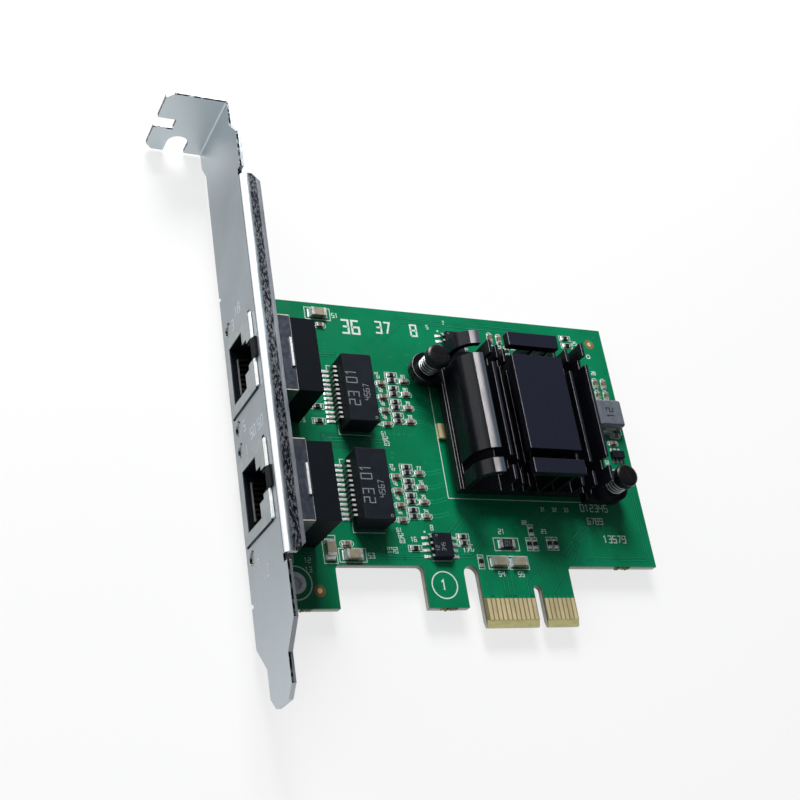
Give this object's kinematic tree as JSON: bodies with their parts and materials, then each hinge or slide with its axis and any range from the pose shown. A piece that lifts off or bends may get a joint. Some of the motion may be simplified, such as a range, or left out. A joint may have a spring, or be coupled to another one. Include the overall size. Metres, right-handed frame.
{
  "type": "dual port network interface card",
  "caption": "Network interface card on a keyed edge-connector board, with two jacks, a finned heat sink and a full-height bracket.",
  "frame": {"origin": "outer face of the bracket, at the level of the edge fingers' bottom edge, in the plane of the board's component face", "axes": "+X along the card away from the bracket, +Y from the edge fingers up to the bracket's tab, +Z out of the board's component face"},
  "size_m": [0.1006, 0.1201, 0.0211],
  "materials": {
    "plated_steel": "zinc plated, satin",
    "board_mask": "green solder mask, gloss",
    "gold": "gold plated",
    "nickel": "nickel plated, satin",
    "tinned": "tin plated, satin",
    "black_moulding": "moulded, satin",
    "package_epoxy": "fine matte",
    "black_anodised": "black anodised, satin",
    "pin_plastic": "moulded, satin",
    "spring_steel": "oiled spring steel",
    "lamp_plastic": "clear tinted",
    "pad_grey": "soft grey",
    "ferrite_grey": "coated ferrite",
    "ceramic_tan": "ceramic",
    "resistor_black": "glazed"
  },
  "bodies": {
    "root": {"bracket": "plated_steel", "circuit_board": "board_mask", "edge_contacts": "gold", "board_inserts": "nickel", "bracket_screws": "nickel", "jack_1_shield": "nickel", "jack_2_shield": "nickel", "jack_1_housing": "black_moulding", "jack_2_housing": "black_moulding", "jack_1_contacts": "gold", "jack_2_contacts": "gold", "status_lamps": "lamp_plastic", "transformer_1_body": "package_epoxy", "transformer_2_body": "package_epoxy", "transformer_1_leads": "tinned", "transformer_2_leads": "tinned", "controller_chip": "package_epoxy", "thermal_pad": "pad_grey", "heat_sink": "black_anodised", "push_pin_1": "pin_plastic", "push_pin_2": "pin_plastic", "pin_spring_1": "spring_steel", "pin_spring_2": "spring_steel", "memory_chip_body": "package_epoxy", "memory_chip_leads": "tinned", "regulator_chip_body": "package_epoxy", "regulator_chip_leads": "tinned", "inductor_body": "ferrite_grey", "inductor_terminals": "tinned", "large_capacitors": "ceramic_tan", "sense_resistor": "resistor_black", "chip_capacitors": "ceramic_tan", "chip_resistors": "resistor_black", "passive_end_caps": "tinned", "crystal": "gold", "switch_chip_body": "package_epoxy", "switch_chip_leads": "tinned"}
  },
  "joints": []
}
